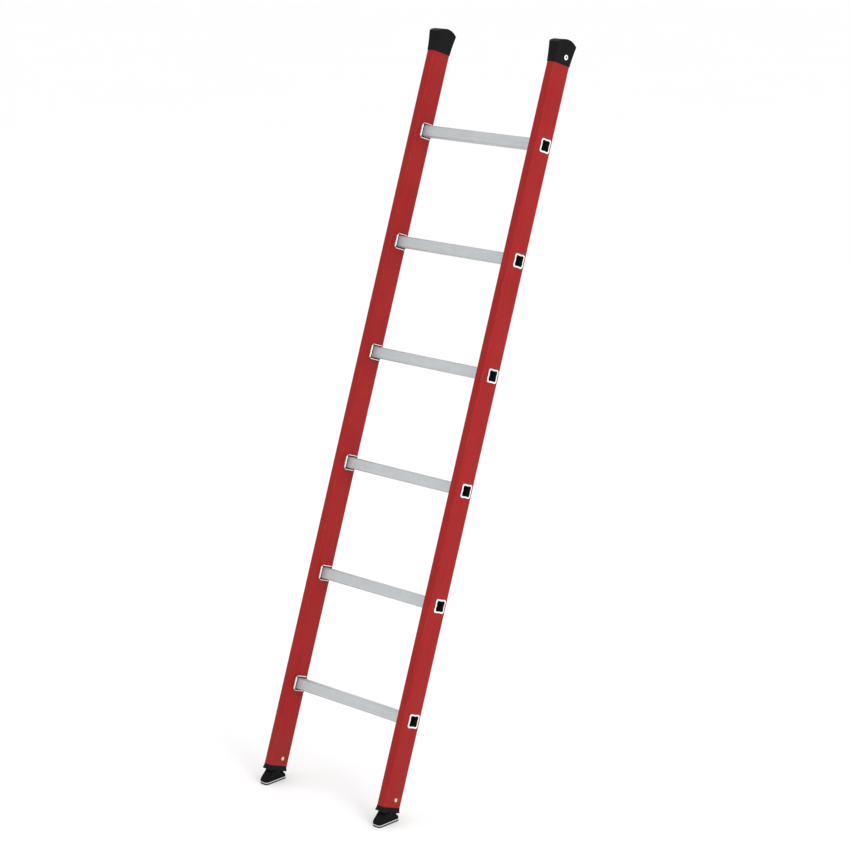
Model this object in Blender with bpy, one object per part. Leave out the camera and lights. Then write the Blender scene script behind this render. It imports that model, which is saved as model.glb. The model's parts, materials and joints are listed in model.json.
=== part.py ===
"""Single-section leaning ladder with glass-fibre stiles and aluminium rungs.

Metres.  +X is the climber's right, +Y points at the wall, +Z is up.  The ladder
stands on its two shoes at its working lean.  Everything on the ladder is laid out
in the frame of the stiles (x across, y from front to rear, z up the stile, zero at
the middle of the bottom rung) and leans with one empty.  Each shoe hangs on its
own empty, which lies on the axis of its ankle pin.
"""
import math

import bmesh
import bpy
from mathutils import Matrix, Vector

# ---------------------------------------------------------------- dimensions
LEAN = math.radians(70.0)          # stile to floor
GAP = 0.0003                       # between pieces that touch

RUNG_COUNT = 6
RUNG_PITCH = 0.280

WIDTH_OVER_STILES = 0.420
STILE_THICKNESS = 0.024            # across
STILE_DEPTH = 0.058                # front to rear
STILE_WALL = 0.003
STILE_CORNER = 0.0035
STILE_HOLLOW_CORNER = 0.0015
STILE_FRONT = -0.0345              # front face, measured from the rung's middle
STILE_BELOW_RUNG = 0.210           # bottom rung to the stile's lower end

RUNG_SIDE = 0.028
RUNG_CORNER = 0.004
RUNG_WALL = 0.002
LIP_SIDE = 0.0340                  # flared end, over its corners
LIP_CORNER = 0.0060
LIP_WAIST = 0.0010                 # how far the flared end's sides draw in
LIP_THICKNESS = 0.0018
MOUTH_FLARE = 0.0008
RIB_COUNT = 8                      # grooves in the top face and in the bottom face
RIB_PITCH = 0.0025
RIB_WIDTH = 0.0011
RIB_DEPTH = 0.0005

COLLAR_SIDE = 0.0385
COLLAR_CORNER = 0.0080
COLLAR_THICKNESS = 0.0052
COLLAR_ROUND = 0.0014

CAP_LIP_ABOVE_RUNG = 0.1968        # top rung to the cap's lower edge
CAP_OVERLAP = 0.036                # how far the stile goes up into the cap
CAP_LIP_WALL = 0.0009
CAP_FLARE_DEPTH = 0.0046           # growth of each side, edge to top corner
CAP_FLARE_WIDTH = 0.0026
CAP_CORNER = 0.0045
CAP_HEIGHT = 0.0600                # edge to the crown
CAP_CORNER_HEIGHT = 0.0480         # edge to the top corners
CAP_CROWN_RADIUS = 0.0535
CAP_FLARE_POWER = 1.4
CAP_RIVET_ABOVE_LIP = 0.0186
CAP_RIVET_SHAFT = 0.0032           # radii of the cap's rivet
CAP_RIVET_HEAD = 0.0068
CAP_RIVET_BORE = 0.0017
CAP_RIVET_TAIL = 0.0044
CAP_RIVET_HEAD_HEIGHT = 0.0014
CAP_RIVET_TAIL_LENGTH = 0.0030

COLLAR_LIP_FLARE = 0.0020          # foot plug's collar, at its lower edge
COLLAR_LIP_ROLL = 0.0008
COLLAR_LIP_HEIGHT = 0.0015
PLUG_COLLAR_HEIGHT = 0.0120
PLUG_SHANK_LENGTH = 0.046
PLUG_SHANK_CORNER = 0.0012
PLUG_WALL = 0.0035
PLUG_POCKET_CORNER = 0.0010
PLUG_FLOOR = 0.0020                # pocket's floor, above the stile's end
FOOT_RIVET_ABOVE_END = 0.0184
FOOT_RIVET_SHAFT = 0.0025          # radii of the foot's rivet
FOOT_RIVET_HEAD = 0.0046
FOOT_RIVET_HEAD_HEIGHT = 0.0018
RIVET_LINE = 0.0011                # rivets, behind the rungs' middle line

PIN_BELOW_RUNG = 0.226             # ankle pin, down the stile from the bottom rung
PIN_LINE = -0.0030                 # ankle pin, front to rear
PIN_RADIUS = 0.0022
PIN_LENGTH = 0.0250
LUG_RADIUS = 0.0080
LUG_WIDTH = 0.0204                 # tongue that fills the shoe's channel, side to side
LUG_REACH = 0.0195                 # tongue, from the pin to the front and to the rear
LUG_END_DEPTH = 0.0010             # tongue below the pin, at its ends and at its middle
LUG_KEEL_DEPTH = 0.0065

PIN_HEIGHT = 0.0232                # ankle pin above the floor
TREAD_THICKNESS = 0.0034
PLATE_THICKNESS = 0.0020
SHOE_WIDTH = 0.0270
SHOE_TOE = -0.0410                 # toe and heel, measured from the pin
SHOE_HEEL = 0.0236
TOE_CORNER = 0.0080
HEEL_CORNER = 0.0025
SHOE_PEAK = 0.0032                 # shoe's ridge above the pin, along the stile
SHOE_SLOPE = math.radians(8.0)     # ridge's two slopes, from the collar's plane
RIDGE_HALF_WIDTH = 0.0015
HEEL_REACH = 0.0205                # pin to the heel's top corner, front to rear
HEEL_FOOT = (0.0240, -0.0146)      # (y, z) from the pin: foot of the heel's slope, just past the sole
THROAT_REACH = 0.0185              # pin to the top of the instep
INSTEP_FOOT = (-0.0358, -0.0365)   # y of the fillet between instep and toe rim
RIM_HEIGHT = 0.0052                # toe rim, above the shoe's underside
RIM_EASE = 0.0006
CHANNEL_WIDTH = 0.0216
CHANNEL_REACH = 0.0204
CHANNEL_END_DEPTH = 0.0045         # below the pin, at the channel's ends and at its middle
CHANNEL_KEEL_DEPTH = 0.0090
TOOTH_PITCH = 0.0070
TOOTH_GROOVE = 0.0024
TOOTH_DEPTH = 0.0020

CORNER_STEPS = 3                   # facets in each rounded corner
ROUND_STEPS = 24                   # facets round a pin or rivet
DOME_STEPS = 56                    # facets of the whole circle the cap's crown is part of
SOLE_CORNER_STEPS = 5

# ------------------------------------------------------------ derived places
STILE_CENTRE_X = (WIDTH_OVER_STILES - STILE_THICKNESS) / 2
STILE_INNER_X = WIDTH_OVER_STILES / 2 - STILE_THICKNESS
STILE_CENTRE_Y = STILE_FRONT + STILE_DEPTH / 2
TOP_RUNG_Z = (RUNG_COUNT - 1) * RUNG_PITCH
CAP_LIP_Z = TOP_RUNG_Z + CAP_LIP_ABOVE_RUNG
STILE_TOP_Z = CAP_LIP_Z + CAP_OVERLAP
STILE_END_Z = -STILE_BELOW_RUNG
COLLAR_END_Z = STILE_END_Z - GAP - PLUG_COLLAR_HEIGHT
CAP_RIVET_Z = CAP_LIP_Z + CAP_RIVET_ABOVE_LIP
FOOT_RIVET_Z = STILE_END_Z + FOOT_RIVET_ABOVE_END
FLOOR = -PIN_HEIGHT                # from the ankle pin
PLATE_BOTTOM = FLOOR + TREAD_THICKNESS + GAP
SHOE_BOTTOM = PLATE_BOTTOM + PLATE_THICKNESS + GAP
UP_STILE = Vector((0.0, math.cos(LEAN), math.sin(LEAN)))
TO_REAR = Vector((0.0, math.sin(LEAN), -math.cos(LEAN)))
TILT = LEAN - math.pi / 2          # turn about X that lays the stile's frame back
SIDES = {"left": -1.0, "right": 1.0}

COLLECTION_NAME = "leaning_ladder"


# ------------------------------------------------------------------ scene set-up
def clear_scene():
    for item in list(bpy.data.objects):
        bpy.data.objects.remove(item, do_unlink=True)
    for group in list(bpy.data.collections):
        bpy.data.collections.remove(group)


def new_collection(name):
    group = bpy.data.collections.new(name)
    bpy.context.scene.collection.children.link(group)
    return group


def finish_material(name, colour, roughness, metallic=0.0):
    """A plain Principled finish."""
    finish = bpy.data.materials.new(name)
    finish.use_nodes = True
    shader = finish.node_tree.nodes["Principled BSDF"]
    shader.inputs["Base Color"].default_value = (*colour, 1.0)
    shader.inputs["Roughness"].default_value = roughness
    shader.inputs["Metallic"].default_value = metallic
    return finish


def new_empty(name, group, location, tilt=0.0):
    empty = bpy.data.objects.new(name, None)
    empty.location = location
    empty.rotation_euler = (tilt, 0.0, 0.0)
    group.objects.link(empty)
    return empty


def new_piece(name, bm, group, parent, finish=None, location=(0.0, 0.0, 0.0)):
    """Turn a bmesh into a named object under its empty."""
    bmesh.ops.recalc_face_normals(bm, faces=bm.faces)
    mesh = bpy.data.meshes.new(name)
    bm.to_mesh(mesh)
    bm.free()
    piece = bpy.data.objects.new(name, mesh)
    piece.location = location
    piece.parent = parent
    group.objects.link(piece)
    if finish:
        mesh.materials.append(finish)
    else:
        piece.display_type = "WIRE"
        piece.hide_render = True
    return piece


def smooth(piece, angle=math.radians(35.0)):
    piece.data.shade_smooth()
    piece.data.set_sharp_from_angle(angle=angle)


def combine(piece, other, operation):
    """Add an exact Boolean to a piece."""
    step = piece.modifiers.new(f"{operation.lower()}_{other.name}", "BOOLEAN")
    step.operation = operation
    step.object = other
    step.solver = "EXACT"


# ------------------------------------------------------------------- shape tools
def rounded_outline(width, depth, corner, waist=None, steps=CORNER_STEPS):
    """Closed outline of a rounded rectangle.

    A waist adds a point at the middle of each side, drawn in by that much.
    """
    half_w = width / 2
    half_d = depth / 2
    corners = [(1, 1), (-1, 1), (-1, -1), (1, -1)]
    points = []
    for turn in range(4):
        if waist is not None:
            middle = [(half_w - waist, 0.0), (0.0, half_d - waist)][turn % 2]
            sign = 1 if turn < 2 else -1
            points.append((sign * middle[0], sign * middle[1]))
        sign_w, sign_d = corners[turn]
        for step in range(steps + 1):
            angle = (turn + step / steps) * math.pi / 2
            points.append((sign_w * (half_w - corner) + corner * math.cos(angle),
                           sign_d * (half_d - corner) + corner * math.sin(angle)))
    return points


def along_x(x, point):
    return Vector((x, point[0], point[1]))


def along_z(z, point):
    return Vector((point[0], point[1], z))


def skin(bm, sections, place):
    """Walls between outlines with equal numbers of points: returns the rings of vertices."""
    rings = [[bm.verts.new(place(height, point)) for point in outline] for height, outline in sections]
    for lower, upper in zip(rings, rings[1:]):
        for index in range(len(lower)):
            following = (index + 1) % len(lower)
            bm.faces.new((lower[index], lower[following], upper[following], upper[index]))
    return rings


def loft(sections, place=along_z):
    """A solid through a row of outlines, closed at both ends."""
    bm = bmesh.new()
    rings = skin(bm, sections, place)
    bm.faces.new(rings[0])
    bm.faces.new(rings[-1])
    return bm


def ring_loft(sections, place=along_x):
    """A ring whose last outline joins its first."""
    bm = bmesh.new()
    rings = skin(bm, sections + sections[:1], place)
    for first, last in zip(rings[0], rings[-1]):
        bmesh.ops.pointmerge(bm, verts=[first, last], merge_co=first.co)
    return bm


def add_box(bm, size, centre):
    bmesh.ops.create_cube(bm, size=1.0, matrix=Matrix.Translation(centre) @ Matrix.Diagonal((*size, 1.0)))


def rod_x(radius, length, centre, steps=ROUND_STEPS):
    """A cylinder that lies along X."""
    bm = bmesh.new()
    lie_down = Matrix.Translation(centre) @ Matrix.Rotation(math.pi / 2, 4, "Y")
    bmesh.ops.create_cone(bm, cap_ends=True, segments=steps, radius1=radius, radius2=radius,
                          depth=length, matrix=lie_down)
    return bm


def turned_x(profile, steps=ROUND_STEPS):
    """Spin a profile of (x, radius) points about X; a closed profile clear of the axis gives a ring."""
    bm = bmesh.new()
    verts = [bm.verts.new((x, 0.0, radius)) for x, radius in profile]
    on_axis = profile[0][1] < 1e-6
    pairs = list(zip(verts, verts[1:])) if on_axis else list(zip(verts, verts[1:] + verts[:1]))
    edges = [bm.edges.new(pair) for pair in pairs]
    bmesh.ops.spin(bm, geom=verts + edges, axis=(1.0, 0.0, 0.0), cent=(0.0, 0.0, 0.0),
                   angle=2 * math.pi, steps=steps, use_merge=True)
    bmesh.ops.remove_doubles(bm, verts=bm.verts, dist=1e-6)
    return bm


# --------------------------------------------------------------------- the stiles
def stile_outline(growth=0.0, corner=STILE_CORNER):
    outline = rounded_outline(STILE_THICKNESS + 2 * growth, STILE_DEPTH + 2 * growth, corner)
    return [(u, v + STILE_CENTRE_Y) for u, v in outline]


def outer_wall_bore(side, height):
    """Cutter for the cap's rivet: through the outer wall and not the inner one."""
    inner_end = STILE_THICKNESS / 4
    centre = SIDES[side] * (inner_end + STILE_THICKNESS / 2)
    return rod_x(CAP_RIVET_SHAFT + GAP, STILE_THICKNESS, (centre, RIVET_LINE, height))


def make_stile(side, parts, cutters, leaning, finish):
    x = SIDES[side] * STILE_CENTRE_X
    body = loft([(STILE_END_Z, stile_outline()), (STILE_TOP_Z, stile_outline())])
    stile = new_piece(f"stile_{side}", body, parts, leaning, finish, (x, 0.0, 0.0))

    past_ends = 0.010
    inner = stile_outline(-STILE_WALL, STILE_HOLLOW_CORNER)
    hollow = new_piece(f"stile_hollow_{side}",
                       loft([(STILE_END_Z - past_ends, inner), (STILE_TOP_Z + past_ends, inner)]),
                       cutters, leaning, location=(x, 0.0, 0.0))
    combine(stile, hollow, "DIFFERENCE")

    reach = STILE_THICKNESS
    hole = rounded_outline(RUNG_SIDE + 2 * GAP, RUNG_SIDE + 2 * GAP, RUNG_CORNER + GAP)
    for number in range(RUNG_COUNT):
        opening = new_piece(f"rung_hole_{side}_{number + 1}", loft([(-reach, hole), (reach, hole)], along_x),
                            cutters, leaning, location=(x, 0.0, number * RUNG_PITCH))
        combine(stile, opening, "DIFFERENCE")

    foot_bore = rod_x(FOOT_RIVET_SHAFT + GAP, 2 * reach, (0.0, RIVET_LINE, FOOT_RIVET_Z))
    combine(stile, new_piece(f"foot_rivet_bore_{side}", foot_bore, cutters, leaning, location=(x, 0.0, 0.0)),
            "DIFFERENCE")
    combine(stile, new_piece(f"cap_rivet_bore_{side}", outer_wall_bore(side, CAP_RIVET_Z), cutters, leaning,
                             location=(x, 0.0, 0.0)), "DIFFERENCE")
    smooth(stile)


# ---------------------------------------------------------------------- the rungs
def make_rung(number, parts, cutters, leaning, finish):
    """A square tube through both stiles, with its ends flared over their outer faces."""
    lip_back = WIDTH_OVER_STILES / 2 + GAP
    lip_face = lip_back + LIP_THICKNESS
    tube = rounded_outline(RUNG_SIDE, RUNG_SIDE, RUNG_CORNER, waist=0.0)
    lip = rounded_outline(LIP_SIDE, LIP_SIDE, LIP_CORNER, LIP_WAIST)
    body = loft([(-lip_face, lip), (-lip_back, lip), (-lip_back, tube),
                 (lip_back, tube), (lip_back, lip), (lip_face, lip)], along_x)
    place = (0.0, 0.0, (number - 1) * RUNG_PITCH)
    rung = new_piece(f"rung_{number}", body, parts, leaning, finish, place)

    bore_side = RUNG_SIDE - 2 * RUNG_WALL
    bore = rounded_outline(bore_side, bore_side, RUNG_CORNER - RUNG_WALL / 2, waist=0.0)
    mouth_side = bore_side + 2 * MOUTH_FLARE
    mouth = rounded_outline(mouth_side, mouth_side, RUNG_CORNER, LIP_WAIST / 2)
    past_lip = 0.002
    flare_start = lip_back - LIP_THICKNESS
    hollow = loft([(-lip_face - past_lip, mouth), (-lip_face, mouth), (-flare_start, bore),
                   (flare_start, bore), (lip_face, mouth), (lip_face + past_lip, mouth)], along_x)
    combine(rung, new_piece(f"rung_hollow_{number}", hollow, cutters, leaning, location=place), "DIFFERENCE")

    ribs = bmesh.new()
    rib_length = 2 * (STILE_INNER_X - COLLAR_THICKNESS - 2 * GAP)
    for face in (-1.0, 1.0):
        for index in range(RIB_COUNT):
            across = (index - (RIB_COUNT - 1) / 2) * RIB_PITCH
            add_box(ribs, (rib_length, RIB_WIDTH, 2 * RIB_DEPTH), (0.0, across, face * RUNG_SIDE / 2))
    combine(rung, new_piece(f"rung_grooves_{number}", ribs, cutters, leaning, location=place), "DIFFERENCE")
    smooth(rung)


def make_rung_collar(side, number, parts, leaning, finish):
    """The rounded aluminium bead that locks a rung against a stile's inner face."""
    hole_side = RUNG_SIDE + 2 * GAP
    hole = rounded_outline(hole_side, hole_side, RUNG_CORNER + GAP)
    full = rounded_outline(COLLAR_SIDE, COLLAR_SIDE, COLLAR_CORNER)
    eased_side = COLLAR_SIDE - 2 * COLLAR_ROUND
    eased = rounded_outline(eased_side, eased_side, COLLAR_CORNER - COLLAR_ROUND)
    sections = [(0.0, hole), (0.0, eased), (COLLAR_ROUND, full),
                (COLLAR_THICKNESS - COLLAR_ROUND, full), (COLLAR_THICKNESS, eased), (COLLAR_THICKNESS, hole)]
    away = -SIDES[side]
    sections = [(away * height, outline) for height, outline in sections]
    place = (SIDES[side] * (STILE_INNER_X - GAP), 0.0, (number - 1) * RUNG_PITCH)
    collar = new_piece(f"rung_collar_{side}_{number}", ring_loft(sections), parts, leaning, finish, place)
    smooth(collar, math.radians(50.0))


# ------------------------------------------------------------------ the head caps
def cap_growth(height):
    """Share of the cap's full flare, at a height above the cap's edge."""
    return (height / CAP_CORNER_HEIGHT) ** CAP_FLARE_POWER


def cap_outline(height):
    growth = cap_growth(height)
    width = STILE_THICKNESS + 2 * (GAP + CAP_LIP_WALL + growth * CAP_FLARE_WIDTH)
    depth = STILE_DEPTH + 2 * (GAP + CAP_LIP_WALL + growth * CAP_FLARE_DEPTH)
    outline = rounded_outline(width, depth, CAP_CORNER)
    return [(u, v + STILE_CENTRE_Y) for u, v in outline]


def make_head_cap(side, parts, cutters, leaning, finish):
    """A flared, domed sleeve over the top of a stile."""
    x = SIDES[side] * STILE_CENTRE_X
    flare_steps = 5
    above_crown = 0.003
    heights = [(CAP_HEIGHT + above_crown) * step / flare_steps for step in range(flare_steps + 1)]
    body = loft([(height, cap_outline(height)) for height in heights])
    cap = new_piece(f"head_cap_{side}", body, parts, leaning, finish, (x, 0.0, CAP_LIP_Z))

    dome = rod_x(CAP_CROWN_RADIUS, 3 * STILE_THICKNESS,
                 (0.0, STILE_CENTRE_Y, CAP_HEIGHT - CAP_CROWN_RADIUS), steps=DOME_STEPS)
    combine(cap, new_piece(f"cap_dome_{side}", dome, cutters, leaning, location=(x, 0.0, CAP_LIP_Z)),
            "INTERSECT")
    below_lip = 0.005
    sleeve = stile_outline(GAP, STILE_CORNER + GAP)
    socket = loft([(-below_lip, sleeve), (CAP_OVERLAP + GAP, sleeve)])
    combine(cap, new_piece(f"cap_socket_{side}", socket, cutters, leaning, location=(x, 0.0, CAP_LIP_Z)),
            "DIFFERENCE")
    combine(cap, new_piece(f"cap_bore_{side}", outer_wall_bore(side, CAP_RIVET_ABOVE_LIP), cutters, leaning,
                           location=(x, 0.0, CAP_LIP_Z)), "DIFFERENCE")
    smooth(cap)


def make_cap_rivet(side, parts, leaning, finish):
    """Blind rivet with an open middle, through the cap and the stile's outer wall."""
    growth = cap_growth(CAP_RIVET_ABOVE_LIP + CAP_RIVET_HEAD)
    head_seat = STILE_THICKNESS / 2 + CAP_LIP_WALL + growth * CAP_FLARE_WIDTH + 2 * GAP
    head_face = head_seat + CAP_RIVET_HEAD_HEIGHT
    rim_face = head_seat + 0.4 * CAP_RIVET_HEAD_HEIGHT
    face_radius = 0.62 * CAP_RIVET_HEAD
    tail_seat = STILE_THICKNESS / 2 - STILE_WALL - GAP
    tail_end = tail_seat - CAP_RIVET_TAIL_LENGTH
    tail_belly = (tail_seat + tail_end) / 2
    tail_neck = (CAP_RIVET_SHAFT + 2 * CAP_RIVET_TAIL) / 3
    profile = [(head_seat, CAP_RIVET_SHAFT), (head_seat, CAP_RIVET_HEAD), (rim_face, CAP_RIVET_HEAD),
               (head_face, face_radius), (head_face, CAP_RIVET_BORE),
               (tail_end, CAP_RIVET_BORE), (tail_end, CAP_RIVET_SHAFT),
               (tail_belly, CAP_RIVET_TAIL), (tail_seat, tail_neck), (tail_seat, CAP_RIVET_SHAFT)]
    profile = [(SIDES[side] * x, radius) for x, radius in profile]
    place = (SIDES[side] * STILE_CENTRE_X, RIVET_LINE, CAP_RIVET_Z)
    smooth(new_piece(f"cap_rivet_{side}", turned_x(profile), parts, leaning, finish, place))


# ------------------------------------------------------------------- the foot plugs
def keeled_outline(reach, end_depth, keel_depth, top):
    """Side view, from the pin, of the plug's tongue and of the channel round it."""
    return [(reach, -end_depth), (reach, top), (-reach, top), (-reach, -end_depth), (0.0, -keel_depth)]


def make_foot_plug(side, parts, cutters, leaning, finish):
    """Hollow shank inside the stile, a collar under its end and a lug for the ankle pin."""
    x = SIDES[side] * STILE_CENTRE_X
    at_side = (x, 0.0, 0.0)
    top = STILE_END_Z + PLUG_SHANK_LENGTH
    collar_top = STILE_END_Z - GAP
    shank = stile_outline(-STILE_WALL - GAP, PLUG_SHANK_CORNER)
    flush = stile_outline()
    flared = stile_outline(COLLAR_LIP_FLARE, STILE_CORNER + COLLAR_LIP_FLARE / 2)
    rolled = stile_outline(COLLAR_LIP_FLARE - COLLAR_LIP_ROLL, STILE_CORNER)
    body = loft([(top, shank), (collar_top, shank), (collar_top, flush),
                 (COLLAR_END_Z + COLLAR_LIP_HEIGHT, flared), (COLLAR_END_Z, rolled)])
    plug = new_piece(f"foot_plug_{side}", body, parts, leaning, finish, at_side)

    pin_z = -PIN_BELOW_RUNG
    into_collar = 0.004
    root = COLLAR_END_Z + into_collar - pin_z
    outline = keeled_outline(LUG_REACH, LUG_END_DEPTH, LUG_KEEL_DEPTH, root)
    tongue = [(PIN_LINE + y, pin_z + z) for y, z in outline]
    lug = loft([(-LUG_WIDTH / 2, tongue), (LUG_WIDTH / 2, tongue)], along_x)
    combine(plug, new_piece(f"lug_{side}", lug, cutters, leaning, location=at_side), "UNION")
    lug_end = rod_x(LUG_RADIUS, LUG_WIDTH, (0.0, PIN_LINE, pin_z))
    combine(plug, new_piece(f"lug_end_{side}", lug_end, cutters, leaning, location=at_side), "UNION")

    pocket = stile_outline(-STILE_WALL - GAP - PLUG_WALL, PLUG_POCKET_CORNER)
    past_top = 0.005
    hollow = loft([(STILE_END_Z + PLUG_FLOOR, pocket), (top + past_top, pocket)])
    combine(plug, new_piece(f"plug_pocket_{side}", hollow, cutters, leaning, location=at_side), "DIFFERENCE")
    rivet_bore = rod_x(FOOT_RIVET_SHAFT + GAP, 2 * STILE_THICKNESS, (0.0, RIVET_LINE, FOOT_RIVET_Z))
    combine(plug, new_piece(f"plug_rivet_bore_{side}", rivet_bore, cutters, leaning, location=at_side),
            "DIFFERENCE")
    pin_bore = rod_x(PIN_RADIUS + GAP, 2 * STILE_THICKNESS, (0.0, PIN_LINE, pin_z))
    combine(plug, new_piece(f"lug_bore_{side}", pin_bore, cutters, leaning, location=at_side), "DIFFERENCE")
    smooth(plug)


def make_foot_rivet(side, parts, leaning, finish):
    """Solid rivet through the stile and the plug, domed on both faces."""
    seat = STILE_THICKNESS / 2 + GAP
    dome_steps = 4
    dome = []
    for step in range(dome_steps + 1):
        angle = step / dome_steps * math.pi / 2
        dome.append((seat + FOOT_RIVET_HEAD_HEIGHT * math.sin(angle), FOOT_RIVET_HEAD * math.cos(angle)))
    dome[-1] = (dome[-1][0], 0.0)
    right_half = [(seat, FOOT_RIVET_SHAFT)] + dome
    left_half = [(-x, radius) for x, radius in reversed(right_half)]
    place = (SIDES[side] * STILE_CENTRE_X, RIVET_LINE, FOOT_RIVET_Z)
    smooth(new_piece(f"foot_rivet_{side}", turned_x(left_half + right_half), parts, leaning, finish, place))


def make_ankle_pin(side, parts, ankle, finish):
    smooth(new_piece(f"ankle_pin_{side}", rod_x(PIN_RADIUS, PIN_LENGTH, (0.0, 0.0, 0.0)),
                     parts, ankle, finish))


# ------------------------------------------------------------------------ the shoes
def from_stile(down_stile, to_rear):
    """(y, z) from the pin, for a place given along the stile and front to rear."""
    place = UP_STILE * down_stile + TO_REAR * to_rear
    return place.y, place.z


def sole_outline(steps=SOLE_CORNER_STEPS):
    """Plan of the sole, seen from above: tight corners at the heel, wide ones at the toe."""
    half = SHOE_WIDTH / 2
    corners = [(half, SHOE_HEEL, HEEL_CORNER, 0), (-half, SHOE_HEEL, HEEL_CORNER, 1),
               (-half, SHOE_TOE, TOE_CORNER, 2), (half, SHOE_TOE, TOE_CORNER, 3)]
    points = []
    for x, y, radius, quarter in corners:
        centre = (x - math.copysign(radius, x), y - math.copysign(radius, y))
        for step in range(steps + 1):
            angle = (quarter + step / steps) * math.pi / 2
            points.append((centre[0] + radius * math.cos(angle), centre[1] + radius * math.sin(angle)))
    return points


def shoe_profile():
    """Side view of the shoe: heel, the ridge under the collar, instep, toe rim."""
    drop = math.tan(SHOE_SLOPE)
    heel = from_stile(SHOE_PEAK - HEEL_REACH * drop, HEEL_REACH)
    ridge_rear = from_stile(SHOE_PEAK, RIDGE_HALF_WIDTH)
    ridge_front = from_stile(SHOE_PEAK, -RIDGE_HALF_WIDTH)
    throat = from_stile(SHOE_PEAK - THROAT_REACH * drop, -THROAT_REACH)
    rim_top = SHOE_BOTTOM + RIM_HEIGHT
    past_sole = 0.005
    far_toe = SHOE_TOE - past_sole
    far_heel = SHOE_HEEL + past_sole
    return [(far_heel, SHOE_BOTTOM), (far_heel, HEEL_FOOT[1]), HEEL_FOOT, heel, ridge_rear, ridge_front,
            throat, (INSTEP_FOOT[0], rim_top + RIM_EASE), (INSTEP_FOOT[1], rim_top),
            (far_toe, rim_top - RIM_EASE), (far_toe, SHOE_BOTTOM)]


def make_shoe(side, parts, cutters, ankle, finish):
    reach = SHOE_WIDTH
    body = loft([(-reach, shoe_profile()), (reach, shoe_profile())], along_x)
    shoe = new_piece(f"shoe_{side}", body, parts, ankle, finish)
    past_shoe = 0.030
    plan = loft([(SHOE_BOTTOM - past_shoe, sole_outline()), (past_shoe, sole_outline())])
    combine(shoe, new_piece(f"shoe_plan_{side}", plan, cutters, ankle), "INTERSECT")

    above_ridge = 0.020
    outline = keeled_outline(CHANNEL_REACH, CHANNEL_END_DEPTH, CHANNEL_KEEL_DEPTH, above_ridge)
    channel = loft([(-CHANNEL_WIDTH / 2, outline), (CHANNEL_WIDTH / 2, outline)], along_x)
    bmesh.ops.rotate(channel, verts=channel.verts, matrix=Matrix.Rotation(TILT, 3, "X"))
    combine(shoe, new_piece(f"shoe_channel_{side}", channel, cutters, ankle), "DIFFERENCE")
    bore = rod_x(PIN_RADIUS + GAP, 2 * reach, (0.0, 0.0, 0.0))
    combine(shoe, new_piece(f"shoe_bore_{side}", bore, cutters, ankle), "DIFFERENCE")
    smooth(shoe)


def make_sole_plate(side, parts, ankle, finish):
    """The pale plate between the shoe and its tread."""
    plate = loft([(PLATE_BOTTOM, sole_outline()), (PLATE_BOTTOM + PLATE_THICKNESS, sole_outline())])
    smooth(new_piece(f"sole_plate_{side}", plate, parts, ankle, finish))


def make_tread(side, parts, cutters, ankle, finish):
    """Rubber tread with teeth across its underside."""
    body = loft([(FLOOR, sole_outline()), (FLOOR + TREAD_THICKNESS, sole_outline())])
    tread = new_piece(f"tread_{side}", body, parts, ankle, finish)
    grooves = bmesh.new()
    length = SHOE_HEEL - SHOE_TOE
    count = int(length / TOOTH_PITCH)
    for index in range(count):
        y = (SHOE_HEEL + SHOE_TOE) / 2 + (index - (count - 1) / 2) * TOOTH_PITCH
        add_box(grooves, (2 * SHOE_WIDTH, TOOTH_GROOVE, 2 * TOOTH_DEPTH), (0.0, y, FLOOR))
    combine(tread, new_piece(f"tread_grooves_{side}", grooves, cutters, ankle), "DIFFERENCE")
    smooth(tread)


# ---------------------------------------------------------------------- assembly
def plan_centre():
    """Y of the pin that puts the middle of the ladder's plan at zero."""
    cap_half_depth = STILE_DEPTH / 2 + GAP + CAP_LIP_WALL + CAP_FLARE_DEPTH
    above_pin = CAP_LIP_Z + CAP_CORNER_HEIGHT + PIN_BELOW_RUNG
    rear = from_stile(above_pin, STILE_CENTRE_Y + cap_half_depth - PIN_LINE)[0]
    return -(rear + SHOE_TOE) / 2


def main():
    clear_scene()
    parts = new_collection(COLLECTION_NAME)
    cutters = new_collection("cutters")
    glass_fibre = finish_material("red_glass_fibre", (0.36, 0.025, 0.028), 0.42)
    rung_metal = finish_material("rung_aluminium", (0.60, 0.60, 0.62), 0.38, 1.0)
    bright_metal = finish_material("bright_aluminium", (0.85, 0.85, 0.86), 0.25, 1.0)
    black_plastic = finish_material("black_plastic", (0.018, 0.018, 0.018), 0.50)
    brass = finish_material("brass_rivet", (0.70, 0.52, 0.30), 0.35, 1.0)
    dark_steel = finish_material("dark_steel", (0.05, 0.05, 0.05), 0.40, 1.0)
    grey_plastic = finish_material("grey_plastic", (0.50, 0.50, 0.50), 0.60)
    black_rubber = finish_material("black_rubber", (0.012, 0.012, 0.012), 0.80)

    pin_y = plan_centre()
    to_bottom_rung = UP_STILE * PIN_BELOW_RUNG - TO_REAR * PIN_LINE
    bottom_rung = Vector((0.0, pin_y, PIN_HEIGHT)) + to_bottom_rung
    leaning = new_empty("leaning_frame", parts, bottom_rung, TILT)

    for number in range(1, RUNG_COUNT + 1):
        make_rung(number, parts, cutters, leaning, rung_metal)
    for side, sign in SIDES.items():
        make_stile(side, parts, cutters, leaning, glass_fibre)
        for number in range(1, RUNG_COUNT + 1):
            make_rung_collar(side, number, parts, leaning, bright_metal)
        make_head_cap(side, parts, cutters, leaning, black_plastic)
        make_cap_rivet(side, parts, leaning, bright_metal)
        make_foot_plug(side, parts, cutters, leaning, black_plastic)
        make_foot_rivet(side, parts, leaning, brass)

        ankle = new_empty(f"ankle_{side}", parts, (sign * STILE_CENTRE_X, pin_y, PIN_HEIGHT))
        make_ankle_pin(side, parts, ankle, dark_steel)
        make_shoe(side, parts, cutters, ankle, black_plastic)
        make_sole_plate(side, parts, ankle, grey_plastic)
        make_tread(side, parts, cutters, ankle, black_rubber)


main()
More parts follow.
